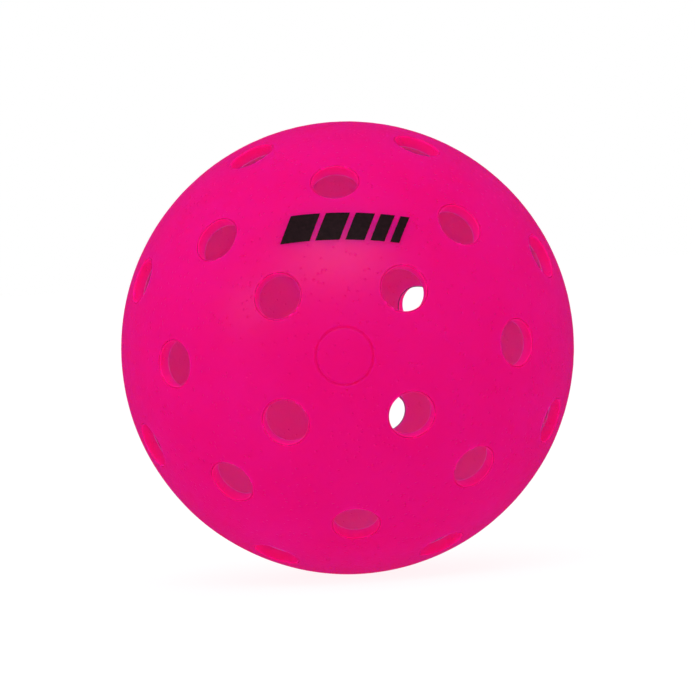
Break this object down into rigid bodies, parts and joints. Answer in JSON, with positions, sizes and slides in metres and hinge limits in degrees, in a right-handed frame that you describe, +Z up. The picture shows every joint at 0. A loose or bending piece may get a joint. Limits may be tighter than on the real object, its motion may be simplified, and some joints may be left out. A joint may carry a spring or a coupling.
{
  "type": "pickleball ball",
  "caption": "Hollow perforated plastic ball: two welded half shells with staggered round air holes and a small printed mark near one pole.",
  "frame": {"origin": "centre of the ball", "axes": "-Y out of the front pole, which faces the viewer; +Y out of the rear pole; +Z up, the direction the tops of the printed bars point; the weld seam lies in the XZ plane"},
  "size_m": [0.0741, 0.074, 0.0742],
  "materials": {
    "shell": "satin",
    "weld": "satin",
    "ink": "satin"
  },
  "bodies": {
    "root": {"front_half_shell": "shell", "rear_half_shell": "shell", "seam_weld": "weld", "printed_mark": "ink"}
  },
  "joints": []
}
